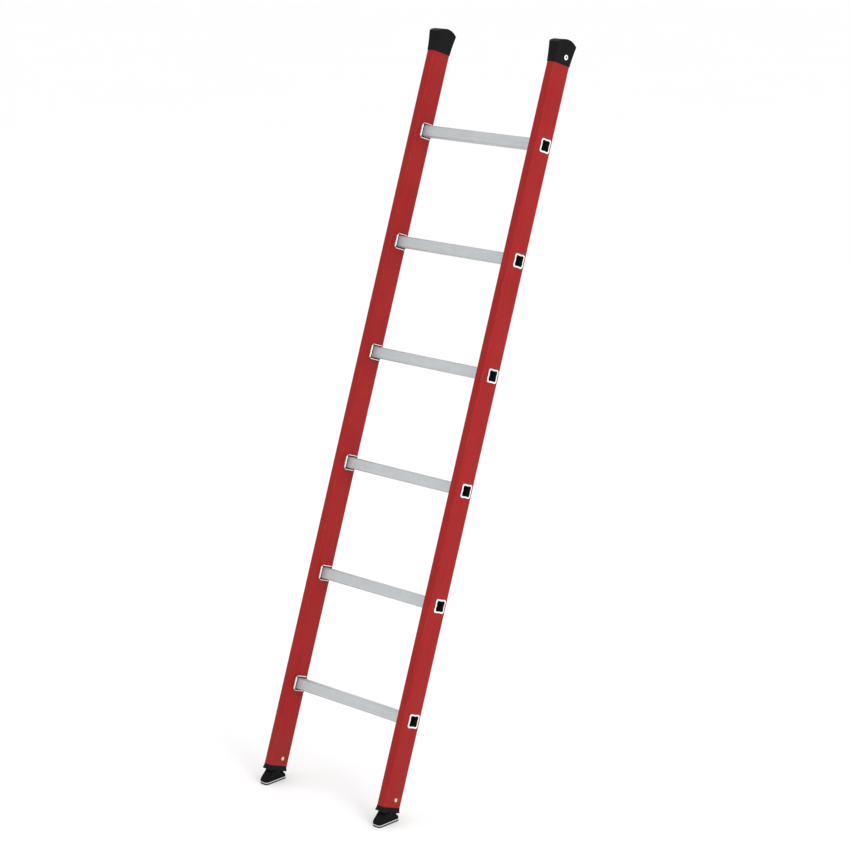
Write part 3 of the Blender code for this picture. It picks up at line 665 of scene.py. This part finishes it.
# -------------------------------------------------------------------------- stiles
def make_stile(side, material):
    """Box section with round corners, and a window in both webs for every rung."""
    line = SIDES[side] * STILE_LINE
    bm = bmesh.new()
    foot = -STILE_BELOW_RUNG
    top = CAP_LIP + CAP_OVERLAP
    hollow = (STILE_THICKNESS - 2 * STILE_WALL, STILE_DEPTH - 2 * STILE_WALL, STILE_HOLLOW_CORNER)
    outer = [rounded_loop(bm, STILE_THICKNESS, STILE_DEPTH, STILE_CORNER, at_height(z, STILE_MIDDLE))
             for z in (foot, top)]
    inner = [rounded_loop(bm, *hollow, at_height(z, STILE_MIDDLE)) for z in (top - HAIR, foot + HAIR)]
    skin(bm, outer + inner, closed=True)
    bmesh.ops.translate(bm, vec=(line, 0.0, 0.0), verts=bm.verts)
    stile = to_object(f"stile_{side}", bm)

    windows = bmesh.new()
    window = RUNG_SIDE + 2 * GAP
    for number in range(RUNG_COUNT):
        level = number * RUNG_PITCH
        ends = [rounded_loop(windows, window, window, RUNG_CORNER, at_side(line + reach, 0.0, level), 4)
                for reach in (-STILE_THICKNESS, STILE_THICKNESS)]
        skin(windows, ends)
        cap_off(windows, *ends)
    carve(stile, "DIFFERENCE", windows)
    fit(stile, "ladder", material, [f"stile_{side}"])


# --------------------------------------------------------------------------- rungs
def cut_ribs(bm, half_length):
    """Sink grooves along the tube's upper and lower faces, so that ribs stand between them."""
    treads = []
    for face in bm.faces:
        centre = face.calc_center_median()
        flat = abs(centre.z) > 0.45 * RUNG_SIDE and abs(centre.y) < RIBS_HALF_RUN
        if flat and abs(centre.x) < TOUCHING:
            treads.append(face)
    for index in range(RIB_COUNT):
        for edge in (-0.5, 0.5):
            y = (index - (RIB_COUNT - 1) / 2) * RIB_PITCH + edge * RIB_WIDTH
            cut = bmesh.ops.bisect_plane(bm, geom=with_rims(treads), plane_co=(0.0, y, 0.0),
                                         plane_no=(0.0, 1.0, 0.0), dist=ON_PLANE)
            treads = [item for item in cut["geom"] if isinstance(item, bmesh.types.BMFace)]
    floors = []
    for face in treads:
        place = face.calc_center_median().y / RIB_PITCH + (RIB_COUNT - 1) / 2
        if abs(place - round(place)) < 0.1 and face.calc_area() < 1.2 * RIB_WIDTH * 2 * half_length:
            floors.append(face)
    bmesh.ops.recalc_face_normals(bm, faces=bm.faces)
    bmesh.ops.inset_individual(bm, faces=floors, thickness=0.15 * RIB_WIDTH, depth=-RIB_DEPTH,
                               use_even_offset=True)


def make_rung(number, material):
    """Square tube, ribbed over and under, each end flared and rolled over the stile."""
    seat = STILE_OUTER + GAP
    mouth = RUNG_MOUTH
    free_end = STILE_INNER - COLLAR_THICKNESS - 2 * GAP
    # each loop's distance from the middle, width, corner and waist: the tube, the lip, the bore
    shell = [(free_end, RUNG_SIDE, RUNG_CORNER, 0.0),
             (seat, RUNG_SIDE, RUNG_CORNER, 0.0),
             (seat + HAIR, LIP_SIDE - 0.0012, LIP_CORNER, LIP_WAIST),
             (seat + 0.0003, LIP_SIDE - 0.0003, LIP_CORNER, LIP_WAIST),
             (seat + 0.0008, LIP_SIDE, LIP_CORNER, LIP_WAIST),
             (mouth - 0.0004, LIP_SIDE - 0.0006, LIP_CORNER, LIP_WAIST),
             (mouth, LIP_SIDE - 0.0022, LIP_CORNER, LIP_WAIST),
             (mouth - HAIR, BORE_SIDE + 0.0034, LIP_CORNER, LIP_WAIST),
             (mouth - 0.0003, BORE_SIDE + 0.0022, 0.0045, LIP_WAIST),
             (mouth - 0.0010, BORE_SIDE + 0.0012, 0.0040, LIP_WAIST),
             (mouth - 0.0024, BORE_SIDE + 0.0003, 0.0032, 0.4 * LIP_WAIST),
             (mouth - 0.0050, BORE_SIDE, 0.0030, 0.0)]
    bm = bmesh.new()
    ends = []
    for end in (1, -1):
        ends.append([rounded_loop(bm, side, side, corner, at_side(end * x), waist=waist)
                     for x, side, corner, waist in shell])
    right, left = ends
    skin(bm, right[::-1] + left, closed=True)
    cut_ribs(bm, free_end)
    bmesh.ops.translate(bm, vec=(0.0, 0.0, (number - 1) * RUNG_PITCH), verts=bm.verts)
    rung = to_object(f"rung_{number}", bm)
    fit(rung, "ladder", material, [f"rung_{number}"])


def make_collar(side, number, material):
    """Rounded bead against the stile's inner face, grooved where it meets the rung."""
    hole = RUNG_SIDE + 2 * GAP
    hole_corner = RUNG_CORNER + GAP
    full = COLLAR_SIDE
    round_corner = COLLAR_CORNER
    groove = COLLAR_GROOVE
    deep = COLLAR_THICKNESS
    # each loop's distance from the stile, width and corner: the outside, the brow, the groove
    section = [(HAIR, hole, hole_corner), (0.0, full - 0.0022, round_corner - 0.0010),
               (0.0004, full - 0.0010, round_corner - 0.0005),
               (0.0011, full - 0.0002, round_corner - 0.0001), (0.0018, full, round_corner),
               (deep - 0.0022, full, round_corner),
               (deep - 0.0012, full - 0.0005, round_corner - 0.0002),
               (deep - 0.0005, full - 0.0016, round_corner - 0.0007),
               (deep, full - 0.0036, round_corner - 0.0016), (deep - 0.0003, groove + 0.0014, 0.0056),
               (deep - 0.0010, groove + 0.0006, 0.0052), (deep - 0.0026, groove, 0.0050),
               (deep - 0.0026 - HAIR, hole, hole_corner)]
    bm = bmesh.new()
    loops = []
    for x, wide, corner in section:
        reach = SIDES[side] * (STILE_INNER - GAP - x)
        loops.append(rounded_loop(bm, wide, wide, corner, at_side(reach), 8))
    skin(bm, loops, closed=True)
    bmesh.ops.translate(bm, vec=(0.0, 0.0, (number - 1) * RUNG_PITCH), verts=bm.verts)
    name = f"rung_collar_{side}_{number}"
    fit(to_object(name, bm), "ladder", material, [name])


# ----------------------------------------------------------------------- head caps
def cap_flare(height):
    """How much of its full flare a cap has at a height."""
    return (height / CAP_CORNER_HEIGHT) ** 1.4


def trim_top(bm, point, outward):
    """Cut the crown at a plane, clear of the socket inside."""
    clear = CAP_OVERLAP + 0.002
    above = [face for face in bm.faces if max(vert.co.z for vert in face.verts) > clear]
    trim(bm, point, outward, with_rims(above))


def make_head_cap(side, material):
    """Sleeve whose sides flare out, under a crown that is part of a cylinder."""
    bm = bmesh.new()
    steps = 16
    loops = []
    for step in range(steps + 1):
        height = (CAP_HEIGHT + CAP_SPARE) * step / steps
        growth = [2 * (GAP + CAP_LIP_WALL + cap_flare(height) * flare) for flare in CAP_FLARE]
        loops.append(rounded_loop(bm, STILE_THICKNESS + growth[0], STILE_DEPTH + growth[1], CAP_CORNER,
                                  at_height(height)))
    sleeve = (STILE_THICKNESS + 2 * GAP, STILE_DEPTH + 2 * GAP, STILE_CORNER + GAP)
    socket = [rounded_loop(bm, *sleeve, at_height(z)) for z in (CAP_OVERLAP + GAP, HAIR)]
    skin(bm, socket + loops)
    cap_off(bm, socket[0], loops[-1])
    crown_middle = CAP_HEIGHT - CAP_CROWN_RADIUS
    facets = 26
    for facet in range(facets + 1):
        angle = CAP_CROWN_SPREAD * (2 * facet / facets - 1)
        outward = Vector((0.0, math.sin(angle), math.cos(angle)))
        trim_top(bm, outward * CAP_CROWN_RADIUS + Vector((0.0, 0.0, crown_middle)), outward)
    bmesh.ops.translate(bm, vec=(SIDES[side] * STILE_LINE, STILE_MIDDLE, CAP_LIP), verts=bm.verts)
    cap = to_object(f"head_cap_{side}", bm)
    fit(cap, "ladder", material, [f"head_cap_{side}"], ease=0.0011, ease_steps=3)


def make_cap_rivet(side, material):
    """Blind rivet: a dished ring round an open bore."""
    seat = STILE_THICKNESS / 2 + CAP_LIP_WALL + cap_flare(CAP_RIVET_HEIGHT) * CAP_FLARE[0]
    top = seat + CAP_RIVET_DOME
    tail = seat - CAP_RIVET_TAIL
    # from the shaft, out under the head, over its dome and down the bore to the tail
    radii = [(seat - 0.0008, CAP_RIVET_SHAFT), (seat - 0.0002, CAP_RIVET_HEAD - 0.0008),
             (seat + 0.0002, CAP_RIVET_HEAD - 0.0002), (seat + 0.0006, CAP_RIVET_HEAD),
             (seat + 0.0010, CAP_RIVET_HEAD - 0.0002), (seat + 0.0014, CAP_RIVET_HEAD - 0.0008),
             (top - 0.0001, CAP_RIVET_HEAD - 0.0018), (top, CAP_RIVET_BORE + 0.0015),
             (top - 0.0001, CAP_RIVET_BORE + 0.0007), (top - 0.0005, CAP_RIVET_BORE + 0.0002),
             (top - 0.0014, CAP_RIVET_BORE), (tail, CAP_RIVET_BORE), (tail, CAP_RIVET_SHAFT)]
    profile = [(SIDES[side] * x, radius) for x, radius in radii]
    centre = (SIDES[side] * STILE_LINE, RIVET_LINE, CAP_LIP + CAP_RIVET_HEIGHT)
    rivet = to_object(f"cap_rivet_{side}", turned(profile, 48, centre))
    fit(rivet, "ladder", material, [f"cap_rivet_{side}"])


# ---------------------------------------------------------------------------- feet
def keel(width, reach, end_depth, keel_depth, top):
    """Solid about the pin, deepest in its middle: the plug's tongue, and the channel round it."""
    bm = bmesh.new()
    side = [(reach, -end_depth), (reach, top), (-reach, top), (-reach, -end_depth), (0.0, -keel_depth)]
    verts = [bm.verts.new((-width / 2, y, z)) for y, z in side]
    outline = bmesh.ops.contextual_create(bm, geom=verts)["faces"]
    pushed = bmesh.ops.extrude_face_region(bm, geom=outline, use_keep_orig=True)["geom"]
    far_side = [vert for vert in pushed if isinstance(vert, bmesh.types.BMVert)]
    bmesh.ops.translate(bm, vec=(width, 0.0, 0.0), verts=far_side)
    return bm


def make_foot_plug(side, material):
    """Shank in the stile, a skirt that flares under its end, and the tongue for the ankle pin."""
    foot = -STILE_BELOW_RUNG - GAP
    seam = -STILE_BELOW_RUNG - HAIR
    end = foot - SKIRT_HEIGHT
    room = 2 * (STILE_WALL + GAP)
    shank = (STILE_THICKNESS - room, STILE_DEPTH - room, SHANK_CORNER)
    # each loop's height, growth beyond the stile and corner: from the seam down, then in and up
    skirt = [(seam, 0.0, 0.0032), (foot - 0.0006, 0.0003, 0.0035), (foot - 0.0030, 0.0003, 0.0036),
             (foot - 0.0060, 0.0007, 0.0038), (foot - 0.0090, 0.0014, 0.0041),
             (end + 0.0012, 0.0020, 0.0045), (end + 0.0004, 0.0019, 0.0045), (end, 0.0013, 0.0042),
             (end + HAIR, -0.0020, 0.0026), (end + 0.0012, -0.0028, 0.0020)]
    bm = bmesh.new()
    shank_ends = (foot + SHANK_LENGTH, seam + HAIR)
    loops = [rounded_loop(bm, *shank, at_height(z, STILE_MIDDLE)) for z in shank_ends]
    for z, growth, corner in skirt:
        size = (STILE_THICKNESS + 2 * growth, STILE_DEPTH + 2 * growth)
        loops.append(rounded_loop(bm, *size, corner, at_height(z, STILE_MIDDLE)))
    skin(bm, loops)
    cap_off(bm, loops[0], loops[-1])

    bmesh.ops.translate(bm, vec=(SIDES[side] * STILE_LINE, 0.0, 0.0), verts=bm.verts)
    plug = to_object(f"foot_plug_{side}", bm)

    pin = LAID_BACK.inverted() @ ANKLES[f"foot_{side}"]
    into_skirt = end + 0.003 - pin.z
    tongue = keel(TONGUE_WIDTH, TONGUE_REACH, TONGUE_END_DEPTH, TONGUE_KEEL_DEPTH, into_skirt)
    bmesh.ops.translate(tongue, vec=pin, verts=tongue.verts)
    knuckle, pin_bore, rivet_bore = bmesh.new(), bmesh.new(), bmesh.new()
    rod(knuckle, KNUCKLE_RADIUS, TONGUE_WIDTH, pin, 64)
    rod(pin_bore, PIN_RADIUS + GAP, 2 * STILE_THICKNESS, pin)
    rod(rivet_bore, FOOT_RIVET_SHAFT + GAP, 2 * STILE_THICKNESS,
        (pin.x, RIVET_LINE, FOOT_RIVET_HEIGHT - STILE_BELOW_RUNG))
    carve(plug, "UNION", tongue, knuckle)
    carve(plug, "DIFFERENCE", pin_bore, rivet_bore)
    fit(plug, "ladder", material, [f"foot_plug_{side}"])


def make_foot_rivet(side, material):
    """Rivet through stile and plug, with a low dome on each face."""
    seat = STILE_THICKNESS / 2 + GAP
    rim = seat + FOOT_RIVET_RIM
    dome = [(seat, FOOT_RIVET_SHAFT), (seat, FOOT_RIVET_HEAD - 0.0001),
            (seat + 0.0003, FOOT_RIVET_HEAD + 0.0001), (rim, FOOT_RIVET_HEAD)]
    steps = 8
    for step in range(1, steps):
        angle = step / steps * math.pi / 2
        dome.append((rim + FOOT_RIVET_DOME * math.sin(angle), FOOT_RIVET_HEAD * math.cos(angle)))
    dome.append((rim + FOOT_RIVET_DOME, 0.0))
    profile = [(-x, radius) for x, radius in reversed(dome)] + dome
    centre = (SIDES[side] * STILE_LINE, RIVET_LINE, FOOT_RIVET_HEIGHT - STILE_BELOW_RUNG)
    rivet = to_object(f"foot_rivet_{side}", turned(profile, 48, centre))
    fit(rivet, "ladder", material, [f"foot_rivet_{side}"])


def make_ankle_pin(side, material):
    """Plain pin through the shoe and the plug's tongue."""
    bm = bmesh.new()
    rod(bm, PIN_RADIUS, PIN_LENGTH, ANKLES[f"foot_{side}"])
    pin = to_object(f"ankle_pin_{side}", bm)
    fit(pin, "ladder", material, [f"ankle_pin_{side}"], laid_back=False, ease=0.0005)


def sole_loop(bm, z):
    """Plan of the sole: tight corners at the heel, wide ones at the toe."""
    known = set(bm.edges)
    flat = Matrix.Translation((0.0, (SHOE_HEEL + SHOE_TOE) / 2, z))
    flat = flat @ Matrix.Diagonal((SHOE_WIDTH, SHOE_HEEL - SHOE_TOE, 1.0, 1.0))
    verts = bmesh.ops.create_grid(bm, x_segments=1, y_segments=1, size=0.5, matrix=flat)["verts"]
    toe = [vert for vert in verts if vert.co.y < 0]
    heel = [vert for vert in verts if vert.co.y > 0]
    for corners, radius, steps in ((toe, TOE_CORNER, 10), (heel, HEEL_CORNER, 5)):
        bmesh.ops.bevel(bm, geom=corners, offset=radius, offset_type="OFFSET", segments=steps,
                        profile=0.5, affect="VERTICES", material=-1)
    edges = [edge for edge in bm.edges if edge not in known]
    delete_faces(bm, edges)
    return edges


def slab(low, high):
    """The sole's plan between two heights."""
    bm = bmesh.new()
    loops = [sole_loop(bm, low), sole_loop(bm, high)]
    skin(bm, loops)
    cap_off(bm, *loops)
    return bm


def from_pin(down_stile, to_rear):
    """(y, z) from the ankle pin, for a place given in the stiles' frame."""
    return (down_stile * math.sin(LEAN_BACK) + to_rear * math.cos(LEAN_BACK),
            down_stile * math.cos(LEAN_BACK) - to_rear * math.sin(LEAN_BACK))


def make_shoe(side, material):
    """Rocking shoe: a rimmed sole, and a body that ridges up under the plug's skirt."""
    sole = -PIN_HEIGHT + TREAD_THICKNESS + PLATE_THICKNESS + 2 * GAP
    rim = sole + RIM_HEIGHT
    bm = slab(sole, rim)
    top = [face for face in bm.faces if face.calc_center_median().z > rim - TOUCHING]
    cut = bmesh.ops.bisect_plane(bm, geom=with_rims(top), plane_co=(0.0, INSTEP_FOOT, 0.0),
                                 plane_no=(0.0, 1.0, 0.0), dist=ON_PLANE)
    rear = [item for item in cut["geom"] if isinstance(item, bmesh.types.BMFace)
            and item.calc_center_median().y > INSTEP_FOOT]
    pushed = bmesh.ops.extrude_face_region(bm, geom=rear)["geom"]
    bmesh.ops.delete(bm, geom=rear, context="FACES_ONLY")
    raised = [item for item in pushed if isinstance(item, bmesh.types.BMVert)]
    bmesh.ops.translate(bm, vec=(0.0, 0.0, SHOE_BLANK), verts=raised)
    drop = math.tan(SHOE_SLOPE)
    ridge_rear = from_pin(SHOE_PEAK, RIDGE_HALF_WIDTH)
    ridge_front = from_pin(SHOE_PEAK, -RIDGE_HALF_WIDTH)
    heel = from_pin(SHOE_PEAK - HEEL_REACH * drop, HEEL_REACH)
    throat = from_pin(SHOE_PEAK - THROAT_REACH * drop, -THROAT_REACH)
    heel_outward = Vector((0.0, heel[1] - HEEL_FOOT[1], HEEL_FOOT[0] - heel[0]))
    trim(bm, (0.0, *heel), heel_outward.normalized())
    line = [heel, ridge_rear, ridge_front, throat, (INSTEP_FOOT, rim)]
    for first, second in zip(line, line[1:]):
        along = Vector((0.0, second[0] - first[0], second[1] - first[1]))
        outward = Vector((0.0, along.z, -along.y))
        above = [face for face in bm.faces if max(vert.co.z for vert in face.verts) > rim + TOUCHING]
        trim(bm, (0.0, *first), outward.normalized(), with_rims(above))
    shoe = to_object(f"shoe_{side}", bm)

    channel = keel(CHANNEL_WIDTH, CHANNEL_REACH, CHANNEL_END_DEPTH, CHANNEL_KEEL_DEPTH, CHANNEL_TOP)
    bmesh.ops.transform(channel, matrix=Matrix.Rotation(-LEAN_BACK, 4, "X"), verts=channel.verts)
    bore = bmesh.new()
    rod(bore, PIN_RADIUS + GAP, 2 * SHOE_WIDTH, (0.0, 0.0, 0.0))
    carve(shoe, "DIFFERENCE", channel, bore)
    shoe.data.transform(Matrix.Translation(ANKLES[f"foot_{side}"]))
    fit(shoe, f"foot_{side}", material, [f"shoe_{side}"], laid_back=False,
        ease=0.0007, ease_steps=3)


def make_sole_plate(side, material):
    """Thin plate between the shoe and its tread."""
    low = -PIN_HEIGHT + TREAD_THICKNESS + GAP
    plate = to_object(f"sole_plate_{side}", slab(low, low + PLATE_THICKNESS))
    plate.data.transform(Matrix.Translation(ANKLES[f"foot_{side}"]))
    fit(plate, f"foot_{side}", material, [f"sole_plate_{side}"], laid_back=False,
        ease=0.0003)


def make_tread(side, material):
    """Rubber sole with teeth across its underside."""
    tread = to_object(f"tread_{side}", slab(-PIN_HEIGHT, -PIN_HEIGHT + TREAD_THICKNESS))
    comb = bmesh.new()
    count = int((SHOE_HEEL - SHOE_TOE) / TOOTH_PITCH)
    middle_y = (SHOE_HEEL + SHOE_TOE) / 2
    for index in range(count):
        y = middle_y + (index - (count - 1) / 2) * TOOTH_PITCH
        block(comb, (2 * SHOE_WIDTH, TOOTH_GROOVE, 2 * TOOTH_DEPTH), (0.0, y, -PIN_HEIGHT))
    carve(tread, "DIFFERENCE", comb)
    tread.data.transform(Matrix.Translation(ANKLES[f"foot_{side}"]))
    fit(tread, f"foot_{side}", material, [f"tread_{side}"], laid_back=False,
        ease=0.0002)


# ------------------------------------------------------------------------ assembly
red, rung_metal, bead_metal = glass_fibre(), rung_aluminium(), bright_aluminium()
black = black_moulding("black_moulding", True, CAP_GLOSS)
shoe_black = black_moulding("black_shoe_moulding", False, SHOE_GLOSS)
brass, steel, grey, rubber = rivet_brass(), dark_steel(), grey_moulding(), black_rubber()

for number in range(1, RUNG_COUNT + 1):
    make_rung(number, rung_metal)
    for side in SIDES:
        make_collar(side, number, bead_metal)
for side in SIDES:
    make_stile(side, red)
    make_head_cap(side, black)
    make_cap_rivet(side, bead_metal)
    make_foot_plug(side, black)
    make_foot_rivet(side, brass)
    make_ankle_pin(side, steel)
    make_shoe(side, shoe_black)
    make_sole_plate(side, grey)
    make_tread(side, rubber)


# --------------------------------------------------------- floor, light and camera
FLOOR_REACH = 80.0
LIGHTS_AIM = Vector((0.0, 0.0, 0.9))
CAMERA_PLACE = (4.39435, -4.40425, 2.49097)
CAMERA_TURN = (75.46895, 1.00806, 44.44615)     # degrees
LENS_LENGTH = 112.235                           # millimetres, as is the sensor
SENSOR_WIDTH = 36.0


def make_floor():
    bm = bmesh.new()
    bmesh.ops.create_grid(bm, x_segments=1, y_segments=1, size=FLOOR_REACH)
    floor = to_object("floor", bm)
    floor.data.materials.append(pale_floor())


def softbox(name, place, size, power):
    """Round lamp, turned to the middle of the ladder."""
    light = bpy.data.lights.new(name, "AREA")
    light.shape = "DISK"
    light.size = size
    light.energy = power
    lamp = bpy.data.objects.new(name, light)
    lamp.location = place
    lamp.rotation_euler = (LIGHTS_AIM - Vector(place)).to_track_quat("-Z", "Y").to_euler()
    bpy.context.scene.collection.objects.link(lamp)


def make_sky(strength):
    world = bpy.data.worlds.new("studio")
    world.use_nodes = True
    sky = world.node_tree.nodes["Background"]
    sky.inputs["Color"].default_value = (1.0, 1.0, 1.0, 1.0)
    sky.inputs["Strength"].default_value = strength
    bpy.context.scene.world = world


def make_camera():
    lens = bpy.data.cameras.new("camera")
    lens.sensor_width = SENSOR_WIDTH
    lens.lens = LENS_LENGTH
    lens.clip_end = 5 * FLOOR_REACH
    camera = bpy.data.objects.new("camera", lens)
    camera.location = CAMERA_PLACE
    camera.rotation_euler = [math.radians(angle) for angle in CAMERA_TURN]
    bpy.context.scene.collection.objects.link(camera)
    bpy.context.scene.camera = camera


make_floor()
make_sky(1.05)
softbox("key", (5.2, -0.7, 3.3), 3.0, 95.0)
softbox("fill", (-0.5, -5.5, 2.6), 4.0, 8.0)
make_camera()
bpy.context.scene.view_settings.view_transform = "Standard"
